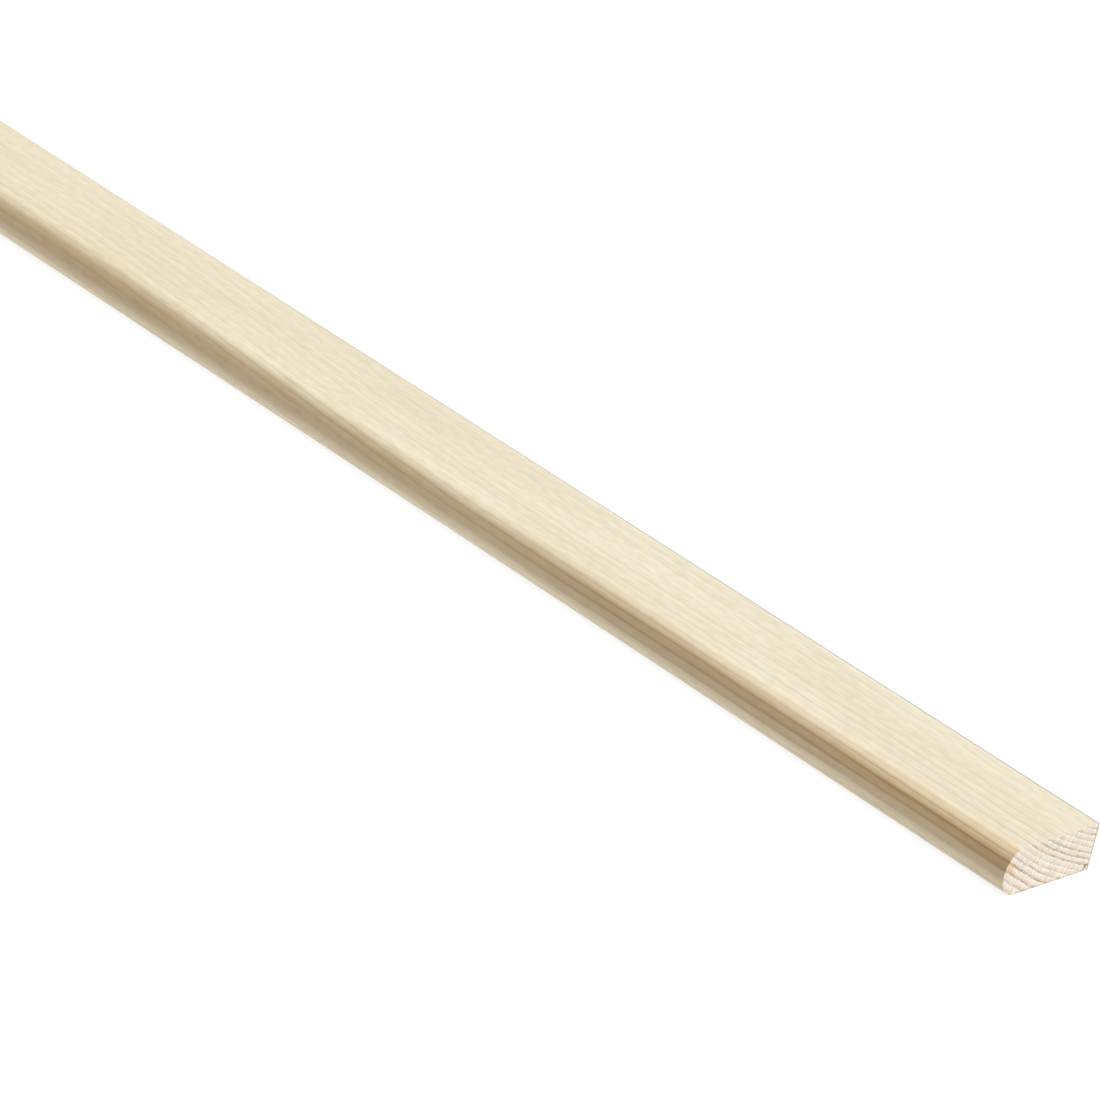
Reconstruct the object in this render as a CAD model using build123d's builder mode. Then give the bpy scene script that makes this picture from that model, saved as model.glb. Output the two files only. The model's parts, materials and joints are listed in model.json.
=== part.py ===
"""Pine parting bead: the slim moulded strip that parts the two sliding sashes of a box window.

It is one machined length of softwood. Both wide faces are flat. The edge that stands out between
the sashes has a rounded nose, and the edge that is set into the groove of the window frame is
square. The bead lies on a wide face with its length along X, its nose towards -Y and its square
edge towards +Y. The origin is the middle of the lower wide face.
"""
import os

from build123d import *

# Driving dimensions in millimetres
bead_length = 2400.0  # the stock length that the moulding is sold in
bead_width = 20.0  # from the crest of the nose to the square edge
bead_thickness = 8.0  # between the wide faces, the width of the groove that takes the bead
nose_rise = 2.5  # from the chord of the wide arc of the nose out to its crest
nose_corner_radius = 3.0  # the tighter arcs that lead the nose into the wide faces
square_arris_radius = 0.3  # the planed arrises of the square edge, only just broken

# Corners of the section, as (y, z) before its arrises are rounded
nose_crest_y = -bead_width / 2
nose_chord_y = nose_crest_y + nose_rise
square_edge_y = bead_width / 2
nose_low = (nose_chord_y, 0)
nose_crest = (nose_crest_y, bead_thickness / 2)
nose_high = (nose_chord_y, bead_thickness)
square_low = (square_edge_y, 0)
square_high = (square_edge_y, bead_thickness)

with BuildPart() as parting_bead:
    # The moulded section, with a three-centred nose: one wide arc between two tighter ones
    with BuildSketch(Plane.YZ) as section:
        with BuildLine():
            ThreePointArc(nose_low, nose_crest, nose_high)
            Polyline(nose_high, square_high, square_low, nose_low)
        make_face()
        fillet(section.vertices().group_by(Axis.X)[0], radius=nose_corner_radius)
        fillet(section.vertices().group_by(Axis.X)[-1], radius=square_arris_radius)
    # The section runs the whole length and is sawn square at both ends
    extrude(amount=bead_length / 2, both=True)
parting_bead.part.label = "parting_bead"

os.makedirs("parts", exist_ok=True)
export_step(parting_bead.part, "parts/parting_bead.step")
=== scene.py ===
"""Dresses the parting bead: one length of planed pine with a moulded nose, seen over its near sawn end."""

import json
import logging
import math
from collections.abc import Callable
from dataclasses import dataclass
from enum import Enum
from typing import Any

import bmesh
import bpy
from bpy.types import Node, NodeTree
from mathutils import Matrix, Vector


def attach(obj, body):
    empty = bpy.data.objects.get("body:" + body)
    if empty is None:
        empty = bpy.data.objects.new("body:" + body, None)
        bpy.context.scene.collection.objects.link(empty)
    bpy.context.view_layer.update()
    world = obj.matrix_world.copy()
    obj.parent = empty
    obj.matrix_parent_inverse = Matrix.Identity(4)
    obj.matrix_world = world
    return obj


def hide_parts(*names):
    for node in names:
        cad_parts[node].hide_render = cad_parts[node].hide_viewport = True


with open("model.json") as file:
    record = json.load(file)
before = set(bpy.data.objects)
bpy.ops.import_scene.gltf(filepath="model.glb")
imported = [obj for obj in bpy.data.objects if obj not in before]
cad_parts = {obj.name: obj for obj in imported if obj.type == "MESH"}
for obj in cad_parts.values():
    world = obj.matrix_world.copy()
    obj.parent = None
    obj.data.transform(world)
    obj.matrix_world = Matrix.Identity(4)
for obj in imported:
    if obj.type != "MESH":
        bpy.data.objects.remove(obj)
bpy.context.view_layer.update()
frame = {"record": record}

log = logging.getLogger("parting_bead")

MM = 0.001  # one millimetre in metres
SAME_PLACE = 1e-6  # two places closer than a thousandth of a millimetre are one
SMOOTH = {"interpolation_type": "SMOOTHSTEP"}  # for a Map Range node that starts and ends gently


class Part(Enum):
    """The parts of a mesh that are selected in edit mode."""

    VERTICES = "VERT"
    EDGES = "EDGE"


class Finish(Enum):
    """The finishes that the bead wears, by the number of their material on the piece."""

    PLANED = 0
    SAWN = 1


def linear(hex_colour: str) -> tuple[float, float, float, float]:
    """Turns an sRGB hex colour into the linear colour that a shader's socket takes.

    Args:
        hex_colour: six hex digits after a hash.

    Returns:
        Linear red, green and blue, and an alpha of 1.
    """
    written = [int(hex_colour[i : i + 2], 16) / 255 for i in (1, 3, 5)]
    red, green, blue = (c / 12.92 if c <= 0.04045 else ((c + 0.055) / 1.055) ** 2.4 for c in written)
    return red, green, blue, 1.0


def add_node(
    tree: NodeTree,
    kind: str,
    settings: dict[str, Any] | None = None,
    inputs: dict[str | int, Any] | None = None,
) -> Node:
    """Adds a node with its settings and links.

    Args:
        tree: the nodes of the material, the world or the modifier.
        kind: the type of the node.
        settings: the node's own settings, by name.
        inputs: what its inputs get, by name or number. A node stands for its first output in use, an
            output is linked as it is, and anything else is the input's own value.

    Returns:
        The new node.
    """
    node = tree.nodes.new(kind)
    for name, value in (settings or {}).items():
        setattr(node, name, value)
    for name, value in (inputs or {}).items():
        in_use = [socket for socket in node.inputs if socket.enabled]
        socket = in_use[name] if isinstance(name, int) else next(s for s in in_use if s.name == name)
        if isinstance(value, Node):
            value = next(output for output in value.outputs if output.enabled)
        if isinstance(value, bpy.types.NodeSocket):
            tree.links.new(value, socket)
        else:
            socket.default_value = value
    return node


def select_alone(piece: bpy.types.Object) -> None:
    """Makes a piece the active object and the only one selected.

    Args:
        piece: the piece to work on next.
    """
    bpy.ops.object.select_all(action="DESELECT")
    piece.select_set(True)
    bpy.context.view_layer.objects.active = piece


def select_parts(kind: Part, wanted: Callable[[list[Vector]], bool]) -> None:
    """Selects some vertices or edges of the mesh in edit mode, and nothing else.

    Args:
        kind: which of the two.
        wanted: says from the place of a vertex, or those of an edge's two ends, whether it is selected.
    """
    bpy.ops.mesh.select_mode(type=kind.value)
    bpy.ops.mesh.select_all(action="DESELECT")
    mesh = bpy.context.edit_object.data
    edited = bmesh.from_edit_mesh(mesh)
    if kind is Part.VERTICES:
        chosen = [vertex for vertex in edited.verts if wanted([vertex.co])]
    else:
        chosen = [edge for edge in edited.edges if wanted([end.co for end in edge.verts])]
    for part in chosen:
        part.select_set(True)
    bmesh.update_edit_mesh(mesh)


def same(one: float, other: float) -> bool:
    """Says whether two coordinates in metres are one place."""
    return abs(one - other) < SAME_PLACE


@dataclass(frozen=True)
class BeadPlace:
    """Where the bead lies, in metres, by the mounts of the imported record."""

    near_end: float
    far_end: float
    square_edge: float
    upper_face: float

    @classmethod
    def from_frame(cls) -> "BeadPlace":
        """Reads the place from the record.

        Returns:
            The place of the bead.
        """
        mounts = {mount["name"]: mount["pos_m"] for mount in frame["record"]["mounts"]}
        return cls(
            near_end=mounts["sawn_end_near"][0],
            far_end=mounts["sawn_end_far"][0],
            square_edge=mounts["groove_edge"][1],
            upper_face=mounts["upper_face"][2],
        )

    @property
    def crest(self) -> float:
        """The crest of the nose along Y, as far out as the square edge on the other side."""
        return -self.square_edge

    @property
    def middle(self) -> float:
        """Half of the thickness, where the crest stands."""
        return self.upper_face / 2


@dataclass(frozen=True)
class Patches:
    """Patches in the wood where something is stronger, such as a tone, a line or the gloss."""

    size: tuple[float, float, float]  # of one patch along X, Y and Z, in millimetres
    detail: float  # how many finer layers of patches are in them
    bare: float = 0.0  # up to this height of their noise nothing of them shows
    full: float = 1.0  # and from this height on they are at their strongest

    def heights(self, tree: NodeTree, place: Node) -> Node:
        """Adds the nodes of the noise behind the patches.

        Args:
            tree: the nodes of a material or of a modifier.
            place: the node that gives the place in millimetres.

        Returns:
            The node of its height, about 0.5 on average.
        """
        stretched = add_node(
            tree, "ShaderNodeVectorMath", {"operation": "DIVIDE"}, {0: place, 1: self.size}
        )
        return add_node(
            tree, "ShaderNodeTexNoise", inputs={"Vector": stretched, "Scale": 1.0, "Detail": self.detail}
        )

    def shares(self, tree: NodeTree, heights: Node) -> Node:
        """Adds the node that gives from the noise how strong the patches are, from 0 to 1."""
        return add_node(tree, "ShaderNodeMapRange", inputs={0: heights, 1: self.bare, 2: self.full})


@dataclass(frozen=True)
class RingNodes:
    """The nodes that tell of the wood at a place by its ring."""

    late: Node  # the share of latewood
    early: Node  # the share of the palest wood, with which the ring starts
    grown: Node  # the radius that the same wood has at the near end, in millimetres
    across: Node  # the way from the pith
    along: Node  # the distance from the near end


@dataclass(frozen=True)
class GrowthRings:
    """The growth rings of the tree where the bead was cut from it, in millimetres.

    The rings lie round the pith, which is outside this bead, over its square edge. One pattern runs
    through the whole of the wood, so each line on a face meets its own ring on the sawn end.
    """

    near_end: float  # the near sawn end along X
    pith_across: float = 28.05
    pith_above: float = 58.3
    stoutest: float = 63.3  # the inner edge of the stoutest ring, at the near end
    spacing: float = 0.97  # slow, even growth up to there
    later_spacing: float = 1.2  # and wider rings from there on
    climb: float = 4.2  # how far the grain runs out of line with the bead
    climb_from: float = 105.0  # where that starts, from the near end
    climb_to: float = 225.0
    wander: float = 8.0  # how far it wanders over the rest of the length
    wander_length: float = 500.0
    sway: float = 0.25  # the slow unevenness of each line
    sway_patches: Patches = Patches((70.0, 5.0, 5.0), detail=2.0)
    ripple: float = 0.24  # and the quick one
    ripple_patches: Patches = Patches((16.0, 0.6, 0.6), detail=2.0)
    early_to: tuple[float, float] = (0.05, 0.4)  # the shares of a ring over which its palest wood ends
    late_from: float = 0.46  # the share of a ring at which its wood starts to darken
    late_full: float = 0.87
    late_to: float = 0.95  # past this share the dark wood stops short
    faintest: float = 0.12  # how dark the faintest ring is, of the darkest
    fading: float = 0.45  # how dark a ring still is where it fades, of where it is clear
    clear_patches: Patches = Patches((60.0, 2.2, 2.2), detail=1.0, bare=0.35, full=0.6)
    seed: float = 67594.0  # picks which rings are the clear ones

    def add_to(self, tree: NodeTree, place: Node) -> RingNodes:
        """Adds the nodes that find the ring at a place in the wood.

        Args:
            tree: the nodes of a material or of a modifier.
            place: the node that gives the place in millimetres.

        Returns:
            The nodes that tell of the wood there.
        """
        parts = add_node(tree, "ShaderNodeSeparateXYZ", inputs={0: place})
        along = add_node(
            tree, "ShaderNodeMath", {"operation": "SUBTRACT"}, {0: self.near_end, 1: parts.outputs["X"]}
        )
        across = add_node(
            tree,
            "ShaderNodeVectorMath",
            {"operation": "MULTIPLY_ADD"},
            {0: place, 1: (0, 1, 1), 2: (0, -self.pith_across, -self.pith_above)},
        )
        grown = self.grown_radius(tree, place, across, along)
        beyond = add_node(tree, "ShaderNodeMath", {"operation": "SUBTRACT"}, {0: grown, 1: self.stoutest})
        counts = [
            add_node(tree, "ShaderNodeMath", {"operation": "DIVIDE"}, {0: beyond, 1: spacing})
            for spacing in (self.spacing, self.later_spacing)
        ]
        count = add_node(tree, "ShaderNodeMath", {"operation": "MINIMUM"}, {0: counts[0], 1: counts[1]})
        share = add_node(tree, "ShaderNodeMath", {"operation": "FRACT"}, {0: count})
        darkening = add_node(
            tree, "ShaderNodeMapRange", SMOOTH, {0: share, 1: self.late_from, 2: self.late_full}
        )
        stopping = add_node(
            tree, "ShaderNodeMapRange", SMOOTH, {0: share, 1: self.late_to, 2: 1.0, 3: 1.0, 4: 0.0}
        )
        band = add_node(tree, "ShaderNodeMath", {"operation": "MULTIPLY"}, {0: darkening, 1: stopping})
        patches = self.clear_patches
        clear = add_node(
            tree,
            "ShaderNodeMapRange",
            inputs={
                0: patches.heights(tree, place),
                1: patches.bare,
                2: patches.full,
                3: self.fading,
                4: 1.0,
            },
        )
        depth = self.depth_of_ring(tree, count)
        drawn = add_node(tree, "ShaderNodeMath", {"operation": "MULTIPLY"}, {0: depth, 1: clear})
        late = add_node(tree, "ShaderNodeMath", {"operation": "MULTIPLY"}, {0: band, 1: drawn})
        ending, ended = self.early_to
        first = add_node(
            tree, "ShaderNodeMapRange", inputs={0: share, 1: ending, 2: ended, 3: 1.0, 4: 0.0}
        )
        early = add_node(tree, "ShaderNodeMath", {"operation": "MULTIPLY"}, {0: first, 1: clear})
        return RingNodes(late, early, grown, across, along)

    def grown_radius(self, tree: NodeTree, place: Node, across: Node, along: Node) -> Node:
        """Adds the nodes that follow the grain from a place to the near end.

        Args:
            tree: the nodes of a material or of a modifier.
            place: the node that gives the place in millimetres.
            across: the node of the way from the pith.
            along: the node of the distance from the near end.

        Returns:
            The node of the radius that the same wood has at the near end.
        """
        radius = add_node(tree, "ShaderNodeVectorMath", {"operation": "LENGTH"}, {0: across})
        climbed = add_node(
            tree,
            "ShaderNodeMapRange",
            SMOOTH,
            {0: along, 1: self.climb_from, 2: self.climb_to, 3: 0.0, 4: self.climb},
        )
        slow_place = add_node(
            tree, "ShaderNodeMath", {"operation": "DIVIDE"}, {0: along, 1: self.wander_length}
        )
        slow = add_node(
            tree,
            "ShaderNodeTexNoise",
            {"noise_dimensions": "1D"},
            {"W": slow_place, "Scale": 1.0, "Detail": 1.0},
        )
        wander = add_node(
            tree, "ShaderNodeMapRange", inputs={0: slow, 3: -self.wander / 2, 4: self.wander / 2}
        )
        past_climb = add_node(
            tree,
            "ShaderNodeMapRange",
            SMOOTH,
            {0: along, 1: self.climb_to, 2: self.climb_to + self.wander_length},
        )
        shifted = add_node(tree, "ShaderNodeMath", {"operation": "ADD"}, {0: radius, 1: climbed})
        grown = add_node(
            tree, "ShaderNodeMath", {"operation": "MULTIPLY_ADD"}, {0: wander, 1: past_climb, 2: shifted}
        )
        for patches, reach in ((self.sway_patches, self.sway), (self.ripple_patches, self.ripple)):
            uneven = patches.heights(tree, place)
            shift = add_node(tree, "ShaderNodeMapRange", inputs={0: uneven, 3: -reach, 4: reach})
            grown = add_node(tree, "ShaderNodeMath", {"operation": "ADD"}, {0: grown, 1: shift})
        return grown

    def depth_of_ring(self, tree: NodeTree, count: Node) -> Node:
        """Adds the nodes that make some rings clear and others faint, and ring 0 the darkest.

        Args:
            tree: the nodes of a material or of a modifier.
            count: the node of the rings counted from the stoutest, with the share of the last one.

        Returns:
            The node of the depth of the ring's dark wood.
        """
        number = add_node(tree, "ShaderNodeMath", {"operation": "FLOOR"}, {0: count})
        seeded = add_node(tree, "ShaderNodeMath", {"operation": "ADD"}, {0: number, 1: self.seed})
        chance = add_node(tree, "ShaderNodeTexWhiteNoise", {"noise_dimensions": "1D"}, {0: seeded})
        strength = add_node(
            tree, "ShaderNodeMapRange", inputs={0: chance.outputs["Value"], 3: self.faintest, 4: 1.0}
        )
        stoutest = add_node(tree, "ShaderNodeMath", {"operation": "COMPARE"}, {0: number, 1: 0.0, 2: 0.5})
        return add_node(tree, "ShaderNodeMath", {"operation": "MAXIMUM"}, {0: strength, 1: stoutest})


@dataclass(frozen=True)
class Streak:
    """A streak of wood of another tone between two rings, in millimetres."""

    middle: float  # by its radius at the near end
    core: float  # half of its full width
    edge: float  # where it ends to each side
    length: float  # from the near end to where it has faded out

    def add_to(self, tree: NodeTree, wood: RingNodes) -> Node:
        """Adds the nodes that tell the wood of the streak.

        Args:
            tree: the nodes of the material.
            wood: the nodes of the rings.

        Returns:
            The node that gives 1 in the streak, all along the bead.
        """
        off_streak = add_node(
            tree, "ShaderNodeMath", {"operation": "SUBTRACT"}, {0: wood.grown, 1: self.middle}
        )
        beside = add_node(tree, "ShaderNodeMath", {"operation": "ABSOLUTE"}, {0: off_streak})
        return add_node(
            tree, "ShaderNodeMapRange", SMOOTH, {0: beside, 1: self.core, 2: self.edge, 3: 1.0, 4: 0.0}
        )


def start_material(name: str) -> tuple[bpy.types.Material, NodeTree, Node]:
    """Starts a material whose pattern is fixed in the wood.

    Args:
        name: the name of the material.

    Returns:
        The material, its nodes and the node that gives the place in millimetres.
    """
    material = bpy.data.materials.new(name)
    material.use_nodes = True
    tree = material.node_tree
    tree.nodes.clear()
    coordinates = add_node(tree, "ShaderNodeTexCoord")
    place = add_node(
        tree,
        "ShaderNodeVectorMath",
        {"operation": "SCALE"},
        {"Vector": coordinates.outputs["Object"], "Scale": 1 / MM},
    )
    return material, tree, place


@dataclass(frozen=True, kw_only=True)
class DryPine:
    """Pine with no coat on it, which gives the eye a pale, dry wood with a darker line for each ring."""

    rings: GrowthRings
    crest: float  # the crest of the nose along Y, in millimetres
    square_edge: float  # and the square edge
    earlywood: str
    first_wood: str  # the palest wood, with which each ring starts
    latewood: str
    streak: Streak = Streak(middle=64.95, core=0.74, edge=0.94, length=140.0)  # the resinous one
    roughness: float
    roughness_spread: float = 0.08  # how far it strays to either side
    ior: float = 1.5  # about that of the walls of wood cells

    def ring_colour(self, tree: NodeTree, wood: RingNodes, line: Node) -> Node:
        """Adds the nodes of the colour of clean wood.

        Args:
            tree: the nodes of the material.
            wood: the nodes of the rings.
            line: the node of how much of the latewood shows.

        Returns:
            The node of the colour.
        """
        pale = add_node(
            tree,
            "ShaderNodeMix",
            {"data_type": "RGBA"},
            {"Factor": wood.early, "A": linear(self.earlywood), "B": linear(self.first_wood)},
        )
        return add_node(
            tree,
            "ShaderNodeMix",
            {"data_type": "RGBA"},
            {"Factor": line, "A": pale, "B": linear(self.latewood)},
        )

    def shaded(self, tree: NodeTree, colour: Node, shades: tuple[tuple[Node, str], ...]) -> Node:
        """Adds the nodes that multiply the colour by each shade where its share is.

        Args:
            tree: the nodes of the material.
            colour: the node of the colour without them.
            shades: for each shade the node of its share and its colour.

        Returns:
            The node of the shaded colour.
        """
        for share, shade in shades:
            colour = add_node(
                tree,
                "ShaderNodeMix",
                {"data_type": "RGBA", "blend_type": "MULTIPLY"},
                {"Factor": share, "A": colour, "B": linear(shade)},
            )
        return colour

    def add_shader(
        self, tree: NodeTree, colour: Node, roughness: Node, heights: Node, depth: float
    ) -> None:
        """Adds the shader of the surface.

        Args:
            tree: the nodes of the material.
            colour: the node of its colour.
            roughness: the node of its roughness.
            heights: the node of the fine relief.
            depth: how deep that is, in millimetres.
        """
        bump = add_node(tree, "ShaderNodeBump", inputs={"Distance": depth * MM, "Height": heights})
        shader = add_node(
            tree,
            "ShaderNodeBsdfPrincipled",
            inputs={"Base Color": colour, "Roughness": roughness, "Normal": bump, "IOR": self.ior},
        )
        add_node(tree, "ShaderNodeOutputMaterial", inputs={"Surface": shader})


@dataclass(frozen=True, kw_only=True)
class PlanedPine(DryPine):
    """Planed pine, as the cutters of a moulding machine leave it.

    It gives the eye a dry, cream wood with fine darker lines along it. Round the nose the cutters rub
    harder, so the wood there is smoother and its lines are stronger; it is browner there too, and darker
    with painted shade where the nose turns from the light. A resinous streak runs along the nose from
    the near end and fades.
    """

    middle: float  # the height of the crest, in millimetres
    nose_radius: float
    earlywood: str = "#F6EDD4"
    first_wood: str = "#F9F1DA"
    latewood: str = "#CBB796"
    burnish_and_shade: str = "#BEB19F"  # browner wood and painted shade round the crest, multiplied in
    burnish_and_shade_above: tuple[float, float] = (1.7, 5.1)  # where it weakens and ends, up from the crest
    burnish_and_shade_below: tuple[float, float] = (-0.6, 3.4)  # and down from it
    resin: str = "#EBE2D6"  # multiplies the wood of the resinous streak
    warmth: str = "#F7ECDF"  # multiplies the warmer wood inside that streak
    warm_wood: Streak = Streak(middle=63.3, core=1.1, edge=1.9, length=110.0)
    face_contrast: float = 0.42  # how strong the lines on the wide faces are, of those on the nose
    contrast_fall: tuple[float, float] = (3.0, 5.0)  # where they weaken, up or down from the crest
    plain_contrast: float = 0.2  # how strong they are on the half by the square edge
    plain_from: tuple[float, float] = (11.0, 14.0)  # where that starts and is full, from the crest
    clear_length: float = 110.0  # over this length from the near end all lines weaken
    dull_contrast: float = 0.4  # to this strength
    # Bundles of fibres, because a single one of 0.03 mm wouldn't show
    fibre: Patches = Patches((9.0, 0.2, 0.2), detail=2.0, bare=0.35, full=0.7)
    fibre_shade: str = "#F9F7F3"
    fibre_depth: float = 0.012
    # The small unevenness of each stroke of the cutters
    mottle: Patches = Patches((2.6, 0.8, 0.8), detail=1.0, bare=0.4, full=0.65)
    mottle_shade: str = "#F9F7F4"
    # The slow change of tone along the wood
    cloud: Patches = Patches((45.0, 6.0, 6.0), detail=2.0, bare=0.35, full=0.7)
    cloud_shade: str = "#F8F6F2"
    far_darkening: str = "#FCFAF6"  # multiplies the wood farther from the near end, slightly darker there
    far_darkening_along: tuple[float, float] = (90.0, 190.0)  # where that starts and is full
    arris_shade: str = "#9EA3A9"  # painted shade along the upper arris of the square edge, by the near end
    arris_shade_width: tuple[float, float] = (0.1, 0.7)  # where that weakens and ends, from the arris
    arris_shade_length: float = 320.0
    roughness: float = 0.5
    nose_roughness: float = 0.38

    def material(self) -> bpy.types.Material:
        """Makes the material.

        Returns:
            The material, with its colour, roughness and bump from its nodes.
        """
        material, tree, place = start_material("planed_pine")
        wood = self.rings.add_to(tree, place)
        girth = self.girth_from_crest(tree, place)
        contrast = self.line_contrast(tree, place, wood, girth)
        line = add_node(tree, "ShaderNodeMath", {"operation": "MULTIPLY"}, {0: wood.late, 1: contrast})
        burnished_and_shaded = self.burnished_and_shaded(tree, girth)
        darkening_from, darkening_full = self.far_darkening_along
        darkened_far = add_node(
            tree, "ShaderNodeMapRange", inputs={0: wood.along, 1: darkening_from, 2: darkening_full}
        )
        fibres, mottles, clouds = (
            patches.heights(tree, place) for patches in (self.fibre, self.mottle, self.cloud)
        )
        shades = (
            # browner wood round the crest, with painted shade where the nose turns from the light
            (burnished_and_shaded, self.burnish_and_shade),
            (self.fading_streak(tree, wood, self.streak), self.resin),
            (self.fading_streak(tree, wood, self.warm_wood), self.warmth),
            (self.fibre.shares(tree, fibres), self.fibre_shade),
            (self.mottle.shares(tree, mottles), self.mottle_shade),
            (self.cloud.shares(tree, clouds), self.cloud_shade),
            (darkened_far, self.far_darkening),
        )
        colour = self.shaded(tree, self.ring_colour(tree, wood, line), shades)
        # painted shade along the upper arris of the square edge
        colour = self.arris_shaded(tree, place, wood, colour)
        smooth = add_node(
            tree, "ShaderNodeMapRange", inputs={0: burnished_and_shaded, 3: self.roughness, 4: self.nose_roughness}
        )
        spread = add_node(
            tree,
            "ShaderNodeMapRange",
            inputs={0: fibres, 3: -self.roughness_spread, 4: self.roughness_spread},
        )
        roughness = add_node(tree, "ShaderNodeMath", {"operation": "ADD"}, {0: smooth, 1: spread})
        self.add_shader(tree, colour, roughness, fibres, self.fibre_depth)
        return material

    def girth_from_crest(self, tree: NodeTree, place: Node) -> Node:
        """Adds the nodes that give how far round the nose a place lies from the crest.

        Args:
            tree: the nodes of the material.
            place: the node that gives the place in millimetres.

        Returns:
            The node of that length in millimetres, up from the crest more than 0.
        """
        parts = add_node(tree, "ShaderNodeSeparateXYZ", inputs={0: place})
        outwards = add_node(
            tree,
            "ShaderNodeMath",
            {"operation": "SUBTRACT"},
            {0: self.crest + self.nose_radius, 1: parts.outputs["Y"]},
        )
        upwards = add_node(
            tree, "ShaderNodeMath", {"operation": "SUBTRACT"}, {0: parts.outputs["Z"], 1: self.middle}
        )
        turn = add_node(tree, "ShaderNodeMath", {"operation": "ARCTAN2"}, {0: upwards, 1: outwards})
        return add_node(
            tree, "ShaderNodeMath", {"operation": "MULTIPLY"}, {0: turn, 1: self.nose_radius}
        )

    def line_contrast(self, tree: NodeTree, place: Node, wood: RingNodes, girth: Node) -> Node:
        """Adds the nodes that weaken the lines on the wide faces and away from the near end.

        Args:
            tree: the nodes of the material.
            place: the node that gives the place in millimetres.
            wood: the nodes of the rings.
            girth: the node of the length round the nose from the crest.

        Returns:
            The node of the strength of the lines.
        """
        parts = add_node(tree, "ShaderNodeSeparateXYZ", inputs={0: place})
        from_crest = add_node(
            tree, "ShaderNodeMath", {"operation": "SUBTRACT"}, {0: parts.outputs["Y"], 1: self.crest}
        )
        plain_start, plain_full = self.plain_from
        on_faces = add_node(
            tree,
            "ShaderNodeMapRange",
            inputs={
                0: from_crest,
                1: plain_start,
                2: plain_full,
                3: self.face_contrast,
                4: self.plain_contrast,
            },
        )
        either_way = add_node(tree, "ShaderNodeMath", {"operation": "ABSOLUTE"}, {0: girth})
        weak_from, weak_to = self.contrast_fall
        round_nose = add_node(
            tree,
            "ShaderNodeMapRange",
            SMOOTH,
            {0: either_way, 1: weak_from, 2: weak_to, 3: 1.0, 4: on_faces},
        )
        dulled = add_node(
            tree,
            "ShaderNodeMapRange",
            inputs={0: wood.along, 1: 0.0, 2: self.clear_length, 3: 1.0, 4: self.dull_contrast},
        )
        return add_node(tree, "ShaderNodeMath", {"operation": "MULTIPLY"}, {0: round_nose, 1: dulled})

    def burnished_and_shaded(self, tree: NodeTree, girth: Node) -> Node:
        """Adds the nodes that tell the browner wood round the crest, which the cutters rubbed, and its
        painted shade.

        Args:
            tree: the nodes of the material.
            girth: the node of the length round the nose from the crest.

        Returns:
            The node of how strongly the wood is burnished and darkened with painted shade.
        """
        down = add_node(tree, "ShaderNodeMath", {"operation": "MULTIPLY"}, {0: girth, 1: -1.0})
        upper, lower = (
            add_node(tree, "ShaderNodeMapRange", SMOOTH, {0: way, 1: full, 2: gone, 3: 1.0, 4: 0.0})
            for way, (full, gone) in ((girth, self.burnish_and_shade_above), (down, self.burnish_and_shade_below))
        )
        return add_node(tree, "ShaderNodeMath", {"operation": "MULTIPLY"}, {0: upper, 1: lower})

    def fading_streak(self, tree: NodeTree, wood: RingNodes, streak: Streak) -> Node:
        """Adds the nodes of a streak that is strongest at the near end.

        Args:
            tree: the nodes of the material.
            wood: the nodes of the rings.
            streak: the streak.

        Returns:
            The node of its strength.
        """
        in_streak = streak.add_to(tree, wood)
        thinning = add_node(
            tree, "ShaderNodeMapRange", inputs={0: wood.along, 2: streak.length, 3: 1.0, 4: 0.0}
        )
        return add_node(tree, "ShaderNodeMath", {"operation": "MULTIPLY"}, {0: in_streak, 1: thinning})

    def arris_shaded(self, tree: NodeTree, place: Node, wood: RingNodes, colour: Node) -> Node:
        """Adds the nodes that paint shade along the upper arris of the square edge towards the near end.

        Args:
            tree: the nodes of the material.
            place: the node that gives the place in millimetres.
            wood: the nodes of the rings.
            colour: the node of the colour of the clean wood.

        Returns:
            The node of the colour with the painted shade along the arris.
        """
        arris = (0.0, -self.square_edge, -2 * self.middle)
        off = add_node(
            tree, "ShaderNodeVectorMath", {"operation": "MULTIPLY_ADD"}, {0: place, 1: (0, 1, 1), 2: arris}
        )
        distance = add_node(tree, "ShaderNodeVectorMath", {"operation": "LENGTH"}, {0: off})
        close, near = (
            add_node(tree, "ShaderNodeMapRange", SMOOTH, {0: way, 1: full, 2: gone, 3: 1.0, 4: 0.0})
            for way, (full, gone) in (
                (distance, self.arris_shade_width),
                (wood.along, (0.0, self.arris_shade_length)),
            )
        )
        share = add_node(tree, "ShaderNodeMath", {"operation": "MULTIPLY"}, {0: close, 1: near})
        return add_node(
            tree,
            "ShaderNodeMix",
            {"data_type": "RGBA"},
            {"Factor": share, "A": colour, "B": linear(self.arris_shade)},
        )


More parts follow.
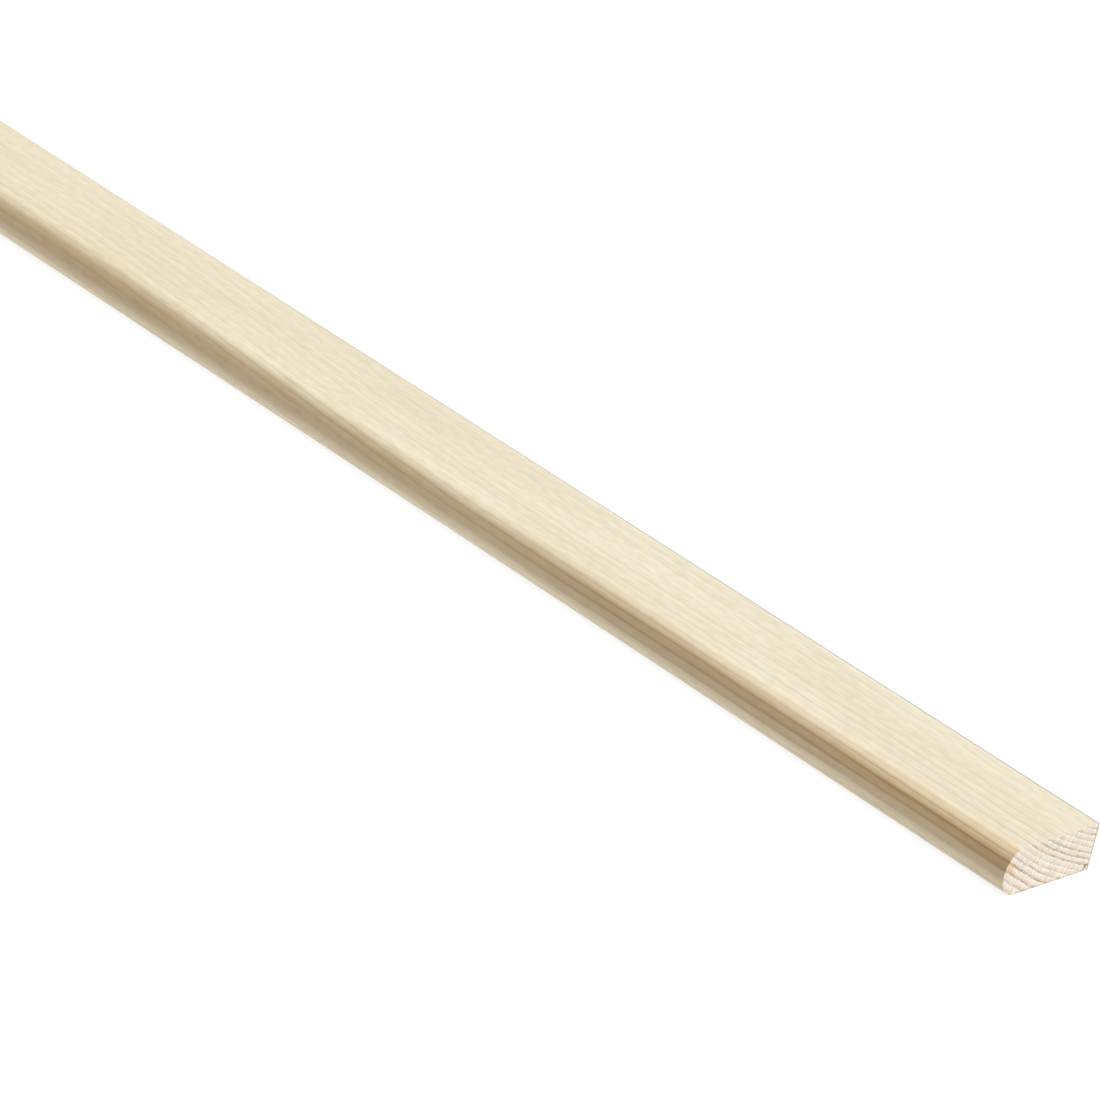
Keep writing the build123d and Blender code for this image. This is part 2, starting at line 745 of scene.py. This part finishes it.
@dataclass(frozen=True, kw_only=True)
class SawnPine(DryPine):
    """Sawn end grain of pine, cut square by a fine saw.

    It gives the eye a matt, slightly pink cream with each ring as a soft, broken darker line between
    paler ones, fine rays across the rings and the speckle of cut fibres. The resinous streak shows in it
    by the nose. It is darker and a little grey along its square edge and in patches along its lower edge,
    and painted shade darkens its torn spot.
    """

    earlywood: str = "#F2EADE"
    first_wood: str = "#FFFBF4"
    latewood: str = "#BAA894"
    ray_width: float = 0.3  # in millimetres, drawn wider than the real 0.03 so that it shows
    ray_length: float = 5.0
    ray_seen: tuple[float, float] = (0.4, 0.7)  # the heights of their noise where they start and are full
    ray_shade: str = "#EFEBE6"
    # Clusters of cut fibres, drawn coarser than a single fibre so that they show
    speckle: Patches = Patches((0.2, 0.2, 0.2), detail=1.0, bare=0.4, full=0.7)
    speckle_shade: str = "#E4DCD3"
    speckle_depth: float = 0.03
    resin: str = "#FBEAD4"  # multiplies the wood of the resinous streak
    resin_reach: tuple[float, float] = (0.9, 3.0)  # where it weakens and ends, from the crest
    edge_darkening: str = "#BFBCBA"  # darkens the square edge and patches along the lower edge
    edge_darkening_width: float = 0.55
    edge_darkening_patches: Patches = Patches((3.0, 3.0, 3.0), detail=0.0, bare=0.42, full=0.6)
    torn_shade: str = "#B4ADA6"  # painted shade, darker deeper in the torn spot behind the sawn face
    torn_shade_below: tuple[float, float] = (0.05, 0.3)  # where that starts and is full, behind the sawn face
    roughness: float = 0.8

    def material(self) -> bpy.types.Material:
        """Makes the material.

        Returns:
            The material, with its colour, roughness and bump from its nodes.
        """
        material, tree, place = start_material("sawn_pine")
        wood = self.rings.add_to(tree, place)
        speckles = self.speckle.heights(tree, place)
        parts = add_node(tree, "ShaderNodeSeparateXYZ", inputs={0: place})
        shades = (
            (self.rays(tree, wood), self.ray_shade),
            (self.speckle.shares(tree, speckles), self.speckle_shade),
            (self.resinous(tree, wood, parts), self.resin),
            (self.darkened_edges(tree, place, parts), self.edge_darkening),
            # painted shade in the torn spot
            (self.torn_shade_share(tree, parts), self.torn_shade),
        )
        colour = self.shaded(tree, self.ring_colour(tree, wood, wood.late), shades)
        roughness = add_node(
            tree,
            "ShaderNodeMapRange",
            inputs={
                0: speckles,
                3: self.roughness - self.roughness_spread,
                4: self.roughness + self.roughness_spread,
            },
        )
        self.add_shader(tree, colour, roughness, speckles, self.speckle_depth)
        return material

    def rays(self, tree: NodeTree, wood: RingNodes) -> Node:
        """Adds the nodes of the rays, which run out from the pith across the rings.

        Args:
            tree: the nodes of the material.
            wood: the nodes of the rings.

        Returns:
            The node of the strength of the rays.
        """
        way = add_node(tree, "ShaderNodeSeparateXYZ", inputs={0: wood.across})
        turn = add_node(
            tree, "ShaderNodeMath", {"operation": "ARCTAN2"}, {0: way.outputs["Y"], 1: way.outputs["Z"]}
        )
        widths = self.rings.stoutest / self.ray_width
        round_pith = add_node(tree, "ShaderNodeMath", {"operation": "MULTIPLY"}, {0: turn, 1: widths})
        from_pith = add_node(
            tree, "ShaderNodeMath", {"operation": "DIVIDE"}, {0: wood.grown, 1: self.ray_length}
        )
        ray_place = add_node(tree, "ShaderNodeCombineXYZ", inputs={0: round_pith, 1: from_pith})
        heights = add_node(
            tree,
            "ShaderNodeTexNoise",
            {"noise_dimensions": "2D"},
            {"Vector": ray_place, "Scale": 1.0, "Detail": 1.0},
        )
        bare, full = self.ray_seen
        return add_node(tree, "ShaderNodeMapRange", inputs={0: heights, 1: bare, 2: full})

    def resinous(self, tree: NodeTree, wood: RingNodes, parts: Node) -> Node:
        """Adds the nodes of the resinous streak, which shows by the nose only.

        Args:
            tree: the nodes of the material.
            wood: the nodes of the rings.
            parts: the node that gives the place along each axis.

        Returns:
            The node of its strength.
        """
        in_streak = self.streak.add_to(tree, wood)
        from_crest = add_node(
            tree, "ShaderNodeMath", {"operation": "SUBTRACT"}, {0: parts.outputs["Y"], 1: self.crest}
        )
        full, gone = self.resin_reach
        by_nose = add_node(
            tree, "ShaderNodeMapRange", SMOOTH, {0: from_crest, 1: full, 2: gone, 3: 1.0, 4: 0.0}
        )
        return add_node(tree, "ShaderNodeMath", {"operation": "MULTIPLY"}, {0: in_streak, 1: by_nose})

    def darkened_edges(self, tree: NodeTree, place: Node, parts: Node) -> Node:
        """Adds the nodes of the darker wood along the square edge and in patches along the lower edge.

        Args:
            tree: the nodes of the material.
            place: the node that gives the place in millimetres.
            parts: the node that gives it along each axis.

        Returns:
            The node of how dark the wood is there.
        """
        from_square = add_node(
            tree, "ShaderNodeMath", {"operation": "SUBTRACT"}, {0: self.square_edge, 1: parts.outputs["Y"]}
        )
        square_side, lower_side = (
            add_node(
                tree, "ShaderNodeMapRange", SMOOTH, {0: way, 1: 0.0, 2: self.edge_darkening_width, 3: 1.0, 4: 0.0}
            )
            for way in (from_square, parts.outputs["Z"])
        )
        patches = self.edge_darkening_patches.shares(tree, self.edge_darkening_patches.heights(tree, place))
        lower_patches = add_node(
            tree, "ShaderNodeMath", {"operation": "MULTIPLY"}, {0: lower_side, 1: patches}
        )
        return add_node(
            tree, "ShaderNodeMath", {"operation": "MAXIMUM"}, {0: square_side, 1: lower_patches}
        )

    def torn_shade_share(self, tree: NodeTree, parts: Node) -> Node:
        """Adds the nodes of the painted shade in the torn spot, behind either sawn face.

        Args:
            tree: the nodes of the material.
            parts: the node that gives the place along each axis.

        Returns:
            The node of the strength of the painted shade.
        """
        either_end = add_node(tree, "ShaderNodeMath", {"operation": "ABSOLUTE"}, {0: parts.outputs["X"]})
        behind = add_node(
            tree, "ShaderNodeMath", {"operation": "SUBTRACT"}, {0: self.rings.near_end, 1: either_end}
        )
        start, full = self.torn_shade_below
        return add_node(tree, "ShaderNodeMapRange", inputs={0: behind, 1: start, 2: full})


@dataclass
class PartingBead:
    """The bead itself: its section traced at the far end, drawn out along X and dressed."""

    place: BeadPlace
    rings: GrowthRings
    nose_rise: float = 2.5 * MM  # from the chord of the wide arc of the nose out to its crest
    nose_corner_radius: float = 3.0 * MM
    square_arris_radius: float = 0.3 * MM
    eased: float = 0.06 * MM  # the worn edge round each sawn end
    nose_column: float = 0.2 * MM  # the width of a strip of faces round the nose
    face_column: float = 0.25 * MM  # and on the flat faces, a quarter of a ring
    arris_steps: int = 4
    lengths: int = 6  # the bead is drawn out in this many lengths, which its map lays side by side
    near_rows: int = 140  # the rows of faces in the nearest length
    far_rows: int = 44  # and in each other one
    grain_depth: float = 0.02  # how far the softest wood sinks below the latewood, in millimetres
    torn_from_corner: float = 0.7 * MM  # the spot by the lower square corner that the saw tore out
    torn_reach: float = 0.3 * MM
    torn_depth: float = 0.5 * MM
    map_gap: float = 1.6 * MM  # between the parts of the map
    end_enlarged: float = 6.0  # how much larger the map holds the sawn ends than the faces
    smooth_to: float = 35.0  # an edge that turns further than this, in degrees, stays sharp

    @property
    def nose_radius(self) -> float:
        """The radius of the wide arc of the nose, through its crest and its chord."""
        return (self.nose_rise**2 + self.place.middle**2) / (2 * self.nose_rise)

    def build(self) -> bpy.types.Object:
        """Builds the bead.

        Returns:
            The finished piece, a closed shell in the place of the CAD node.
        """
        piece = self.trace_section()
        self.note_girth()
        self.draw_out()
        self.close_end(self.place.near_end, 1)
        self.close_end(self.place.far_end, -1)
        bpy.ops.mesh.select_all(action="SELECT")
        bpy.ops.mesh.normals_make_consistent(inside=False)
        bpy.ops.object.mode_set(mode="OBJECT")
        self.lay_out_map(piece)
        self.finish_faces(piece)
        self.tear_corner(piece)
        self.raise_grain(piece)
        return piece

    def trace_section(self) -> bpy.types.Object:
        """Traces the outline of the section where the far end's worn edge starts.

        Returns:
            The piece, in edit mode, with the closed outline as its only edges.
        """
        at = self.place.far_end + self.eased
        top, middle = self.place.upper_face, self.place.middle
        wide, tight, arris = self.nose_radius, self.nose_corner_radius, self.square_arris_radius
        lean = math.asin((middle - tight) / (wide - tight))
        nose_flat = self.place.crest + wide - (wide - tight) * math.cos(lean)
        square_flat = self.place.square_edge - arris
        centre = (at, (nose_flat + square_flat) / 2, middle)
        bpy.ops.object.select_all(action="DESELECT")
        bpy.ops.mesh.primitive_plane_add(size=1, location=centre, rotation=(0, math.pi / 2, 0))
        bpy.ops.object.transform_apply(location=True, rotation=True, scale=True)
        piece = bpy.context.active_object
        piece.name = piece.data.name = "planed_bead"
        bpy.ops.object.mode_set(mode="EDIT")
        bpy.ops.mesh.select_all(action="SELECT")
        bpy.ops.transform.resize(value=(1, square_flat - nose_flat, top), center_override=centre)
        bpy.ops.mesh.delete(type="ONLY_FACE")
        select_parts(Part.EDGES, lambda ends: same(ends[0].y, ends[1].y))
        bpy.ops.mesh.delete(type="EDGE")
        select_parts(Part.EDGES, lambda ends: True)
        bpy.ops.mesh.subdivide(number_cuts=round((square_flat - nose_flat) / self.face_column) - 1)
        select_parts(Part.VERTICES, lambda ends: same(ends[0].y, nose_flat) and same(ends[0].z, 0))
        arcs = (
            (nose_flat, tight, tight, math.pi / 2 - lean),
            (self.place.crest + wide, middle, wide, 2 * lean),
            (nose_flat, top - tight, tight, math.pi / 2 - lean),
        )
        for across, above, radius, angle in arcs:
            bpy.ops.mesh.spin(
                steps=round(radius * angle / self.nose_column),
                angle=angle,
                center=(at, across, above),
                axis=(1, 0, 0),
            )
        select_parts(Part.VERTICES, lambda ends: same(ends[0].y, square_flat) and same(ends[0].z, top))
        quarter = {"steps": self.arris_steps, "angle": math.pi / 2, "axis": (1, 0, 0)}
        bpy.ops.mesh.spin(center=(at, square_flat, top - arris), **quarter)
        edge_steps = round((top - 2 * arris) / self.face_column)
        step = {"value": (0, 0, -(top - 2 * arris) / edge_steps)}
        for _ in range(edge_steps):
            bpy.ops.mesh.extrude_vertices_move(TRANSFORM_OT_translate=step)
        bpy.ops.mesh.spin(center=(at, square_flat, arris), **quarter)
        bpy.ops.mesh.select_all(action="SELECT")
        bpy.ops.mesh.remove_doubles(threshold=SAME_PLACE)
        return piece

    def note_girth(self) -> None:
        """Notes on each vertex of the outline how far round the section it lies, for the map."""
        mesh = bpy.context.edit_object.data
        outline = bmesh.from_edit_mesh(mesh)
        girth = outline.verts.layers.float.new("girth")
        start = min(outline.verts, key=lambda v: v.co.z + abs(v.co.y))
        here, edge, gone = start, start.link_edges[0], 0.0
        while True:
            here[girth] = gone
            gone += edge.calc_length()
            here = edge.other_vert(here)
            if here is start:
                break
            edge = next(e for e in here.link_edges if e is not edge)
        bmesh.update_edit_mesh(mesh)

    def draw_out(self) -> None:
        """Draws the outline out along X and cuts it into rows, closer together towards the near end."""
        start = self.place.far_end + self.eased
        end = self.place.near_end - self.eased
        step = (end - start) / self.lengths
        select_parts(Part.EDGES, lambda ends: True)
        for _ in range(self.lengths):
            bpy.ops.mesh.extrude_edges_move(TRANSFORM_OT_translate={"value": (step, 0, 0)})
        last = end - step - SAME_PLACE
        for rows, near in ((self.near_rows, True), (self.far_rows, False)):
            select_parts(
                Part.EDGES,
                lambda ends: abs(ends[0].x - ends[1].x) > step / 2
                and (min(ends[0].x, ends[1].x) > last) is near,
            )
            bpy.ops.mesh.subdivide(number_cuts=rows - 1)

    def close_end(self, end: float, way: int) -> None:
        """Turns the worn edge round a sawn end and closes the end with a grid of faces.

        Args:
            end: where the sawn face lies along X.
            way: 1 if it faces +X and -1 if it faces -X.
        """
        outline = end - way * self.eased
        centre = (end, 0, self.place.middle)
        width = self.place.square_edge - self.place.crest
        inset = (1, 1 - 2 * self.eased / width, 1 - 2 * self.eased / self.place.upper_face)
        select_parts(Part.EDGES, lambda ends: all(same(one.x, outline) for one in ends))
        bpy.ops.mesh.extrude_edges_move(TRANSFORM_OT_translate={"value": (way * self.eased, 0, 0)})
        bpy.ops.transform.resize(value=inset, center_override=centre)
        bpy.ops.mesh.fill_grid()

    def lay_out_map(self, piece: bpy.types.Object) -> None:
        """Lays the surface out flat, the lengths side by side and the sawn ends enlarged beside them.

        Args:
            piece: the bead, before its grain is raised.
        """
        mesh = piece.data
        noted = mesh.attributes["girth"]
        around = max(value.value for value in noted.data) + self.nose_column
        step = (self.place.near_end - self.place.far_end) / self.lengths
        column = around + self.map_gap
        ends_at = self.lengths * column
        end_height = (self.place.square_edge - self.place.crest) * self.end_enlarged
        full = max(ends_at + self.place.upper_face * self.end_enlarged, step) + 2 * self.map_gap
        layer = mesh.uv_layers.new(name="OFBake")
        girths = [value.value for value in noted.data]
        for face in mesh.polygons:
            corners = [mesh.vertices[v].co for v in face.vertices]
            if all(same(abs(corner.x), self.place.near_end) for corner in corners):
                raised = 0.0 if face.center.x > 0 else end_height + self.map_gap
                spots = [
                    (
                        ends_at + corner.z * self.end_enlarged,
                        raised + (corner.y - self.place.crest) * self.end_enlarged,
                    )
                    for corner in corners
                ]
            else:
                strip = min(int((face.center.x - self.place.far_end) / step), self.lengths - 1)
                rounds = [girths[v] for v in face.vertices]
                over_seam = max(rounds) - min(rounds) > around / 2
                spots = [
                    (
                        strip * column + (gone + around if over_seam and gone < around / 2 else gone),
                        corner.x - self.place.far_end - strip * step,
                    )
                    for gone, corner in zip(rounds, corners)
                ]
            for loop, (u, v) in zip(face.loop_indices, spots):
                layer.uv[loop].vector = ((u + self.map_gap) / full, (v + self.map_gap) / full)
        mesh.attributes.remove(noted)

    def finish_faces(self, piece: bpy.types.Object) -> None:
        """Gives the faces planed pine and the sawn ends with their worn edges sawn pine.

        Args:
            piece: the bead.
        """
        crest, square_edge = self.place.crest / MM, self.place.square_edge / MM
        planed = PlanedPine(
            rings=self.rings,
            crest=crest,
            square_edge=square_edge,
            middle=self.place.middle / MM,
            nose_radius=self.nose_radius / MM,
        )
        sawn = SawnPine(rings=self.rings, crest=crest, square_edge=square_edge)
        piece.data.materials.append(planed.material())
        piece.data.materials.append(sawn.material())
        for face in piece.data.polygons:
            at_end = abs(face.center.x) > self.place.near_end - self.eased
            face.material_index = (Finish.SAWN if at_end else Finish.PLANED).value

    def tear_corner(self, piece: bpy.types.Object) -> None:
        """Sinks a small spot by the lower square corner of the near end, where the saw tore fibres out.

        Args:
            piece: the bead.
        """
        across = self.place.square_edge - self.torn_from_corner
        spot = Vector((self.place.near_end, across, self.torn_from_corner))
        select_alone(piece)
        bpy.ops.object.mode_set(mode="EDIT")
        select_parts(Part.VERTICES, lambda ends: (ends[0] - spot).length < self.torn_reach)
        bpy.ops.transform.translate(value=(-self.torn_depth, 0, 0))
        bpy.ops.object.mode_set(mode="OBJECT")

    def raise_grain(self, piece: bpy.types.Object) -> None:
        """Sinks the soft wood between the lines, so that the latewood stands proud as on a dry bead.

        Args:
            piece: the bead, which nowhere grows past its size.
        """
        tree = bpy.data.node_groups.new("raised_grain", "GeometryNodeTree")
        for way in ("INPUT", "OUTPUT"):
            tree.interface.new_socket("Geometry", in_out=way, socket_type="NodeSocketGeometry")
        start = add_node(tree, "NodeGroupInput")
        position = add_node(tree, "GeometryNodeInputPosition")
        place = add_node(
            tree, "ShaderNodeVectorMath", {"operation": "SCALE"}, {"Vector": position, "Scale": 1 / MM}
        )
        late = self.rings.add_to(tree, place).late
        depth = self.grain_depth * MM
        sunk = add_node(
            tree, "ShaderNodeMath", {"operation": "MULTIPLY_ADD"}, {0: late, 1: depth, 2: -depth}
        )
        outwards = add_node(tree, "GeometryNodeInputNormal")
        shift = add_node(
            tree, "ShaderNodeVectorMath", {"operation": "SCALE"}, {"Vector": outwards, "Scale": sunk}
        )
        moved = add_node(tree, "GeometryNodeSetPosition", inputs={"Geometry": start, "Offset": shift})
        add_node(tree, "NodeGroupOutput", inputs={0: moved})
        select_alone(piece)
        modifier = piece.modifiers.new("raised_grain", "NODES")
        modifier.node_group = tree
        bpy.ops.object.modifier_apply(modifier=modifier.name)
        bpy.ops.object.shade_smooth_by_angle(angle=math.radians(self.smooth_to))

    def dress(self, piece: bpy.types.Object) -> None:
        """Args:
            piece: the bead.
        """
        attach(piece, "root")
        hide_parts("parting_bead")


def seen_by_the_eye(tree: NodeTree, path: Node) -> Node:
    """Adds the nodes that tell what is looked at, also in a gloss or through glass.

    Args:
        tree: the nodes of the material or the world.
        path: its Light Path node.

    Returns:
        The node that gives 1 for what is looked at.
    """
    mirrored = add_node(
        tree,
        "ShaderNodeMath",
        {"operation": "MAXIMUM"},
        {0: path.outputs["Is Glossy Ray"], 1: path.outputs["Is Transmission Ray"]},
    )
    return add_node(
        tree, "ShaderNodeMath", {"operation": "MAXIMUM"}, {0: path.outputs["Is Camera Ray"], 1: mirrored}
    )


@dataclass(frozen=True)
class PaleFloor:
    """A matt painted floor, which gives the eye plain white past every view, with the bead's shadow."""

    reach: float = 80.0
    below: float = 0.02 * MM  # clear of the bead's lower face
    paint: str = "#ECEAE6"
    seen_paint: float = 0.2  # the share of the light that the camera sees the floor send back
    seen_glow: float = 0.86  # and what is added, so that the lit floor is plain white

    def build(self) -> bpy.types.Object:
        """Builds the floor and gives it its paint.

        Returns:
            The floor.
        """
        bpy.ops.object.select_all(action="DESELECT")
        bpy.ops.mesh.primitive_plane_add(size=2 * self.reach, location=(0, 0, -self.below))
        floor = bpy.context.active_object
        floor.name = "studio_floor"
        material = bpy.data.materials.new("pale_floor")
        material.use_nodes = True
        tree = material.node_tree
        tree.nodes.clear()
        path = add_node(tree, "ShaderNodeLightPath")
        painted = add_node(tree, "ShaderNodeBsdfDiffuse", inputs={"Color": linear(self.paint)})
        share = self.seen_paint
        shadowed = add_node(tree, "ShaderNodeBsdfDiffuse", inputs={"Color": (share, share, share, 1.0)})
        glow = add_node(tree, "ShaderNodeEmission", inputs={"Strength": self.seen_glow})
        seen = add_node(tree, "ShaderNodeAddShader", inputs={0: shadowed, 1: glow})
        looked_at = seen_by_the_eye(tree, path)
        shader = add_node(tree, "ShaderNodeMixShader", inputs={0: looked_at, 1: painted, 2: seen})
        add_node(tree, "ShaderNodeOutputMaterial", inputs={"Surface": shader})
        floor.data.materials.append(material)
        return floor


@dataclass(frozen=True)
class SoftStudioLight:
    """A large soft lamp over the near end and the pale room round it."""

    lamp_from: tuple[float, float, float] = (0.58, -0.27, 0.77)
    lamp_strength: float = 2.6
    lamp_angle: float = 50.0  # how wide the lamp looks from the bead, in degrees
    room_strength: float = 0.35

    def build(self) -> None:
        """Hangs the lamp and sets the room."""
        data = bpy.data.lights.new("soft_lamp", "SUN")
        data.energy = self.lamp_strength
        data.angle = math.radians(self.lamp_angle)
        lamp = bpy.data.objects.new("soft_lamp", data)
        lamp.rotation_euler = Vector(self.lamp_from).to_track_quat("Z", "Y").to_euler()
        bpy.context.scene.collection.objects.link(lamp)

        world = bpy.data.worlds.new("white_room")
        world.use_nodes = True
        bpy.context.scene.world = world
        tree = world.node_tree
        tree.nodes.clear()
        path = add_node(tree, "ShaderNodeLightPath")
        looked_at = seen_by_the_eye(tree, path)
        strength = add_node(
            tree, "ShaderNodeMapRange", inputs={0: looked_at, 3: self.room_strength, 4: 1.0}
        )
        room = add_node(
            tree, "ShaderNodeBackground", inputs={"Color": (1.0, 1.0, 1.0, 1.0), "Strength": strength}
        )
        add_node(tree, "ShaderNodeOutputWorld", inputs={"Surface": room})


@dataclass(frozen=True)
class PhotoCamera:
    """The camera at the photograph's angle: a long lens over the near end, looking up the bead."""

    place: BeadPlace
    azimuth: float = 40.34  # the turn from looking along +Y towards -X, in degrees
    elevation: float = 25.81
    roll: float = -12.74
    picture: float = 1100.0  # the side of the photograph in pixels
    focal_pixels: float = 6100.0
    corner_pixel: tuple[float, float] = (1087.42, 869.82)  # the lower corner of the near square edge
    corner_distance: float = 891.58 * MM  # how far away that corner is, along the line of sight
    sensor: float = 36.0  # the width of its sensor in millimetres
    nearest: float = 0.05  # it sees from here, in metres
    farthest: float = 400.0

    def build(self) -> bpy.types.Object:
        """Places the camera so that the corner comes out on its pixel.

        Returns:
            The scene's camera.
        """
        azimuth, elevation, roll = map(math.radians, (self.azimuth, self.elevation, self.roll))
        forward = Vector(
            (
                -math.sin(azimuth) * math.cos(elevation),
                math.cos(azimuth) * math.cos(elevation),
                -math.sin(elevation),
            )
        )
        level = forward.cross(Vector((0, 0, 1))).normalized()
        down = forward.cross(level)
        right = math.cos(roll) * level + math.sin(roll) * down
        down = math.cos(roll) * down - math.sin(roll) * level
        corner = Vector((self.place.near_end, self.place.square_edge, 0))
        aside, below = ((pixel - self.picture / 2) / self.focal_pixels for pixel in self.corner_pixel)
        eye = corner - self.corner_distance * (forward + aside * right + below * down)

        data = bpy.data.cameras.new("photo_camera")
        data.sensor_width = self.sensor
        data.lens = self.focal_pixels / self.picture * self.sensor
        data.clip_start, data.clip_end = self.nearest, self.farthest
        camera = bpy.data.objects.new("photo_camera", data)
        turn = Matrix((right, -down, -forward)).transposed()
        camera.matrix_world = Matrix.Translation(eye) @ turn.to_4x4()
        bpy.context.scene.collection.objects.link(camera)
        bpy.context.scene.camera = camera
        return camera


def main() -> None:
    """Builds the camera, the studio and the bead in order, and reports each piece."""
    logging.basicConfig(level=logging.INFO, format="%(message)s")
    bpy.context.scene.view_settings.view_transform = "Standard"
    place = BeadPlace.from_frame()
    PhotoCamera(place).build()
    PaleFloor().build()
    SoftStudioLight().build()
    bead = PartingBead(place, GrowthRings(place.near_end / MM))
    piece = bead.build()
    bead.dress(piece)
    log.info("%s: %d faces", piece.name, len(piece.data.polygons))


if __name__ == "__main__":
    main()
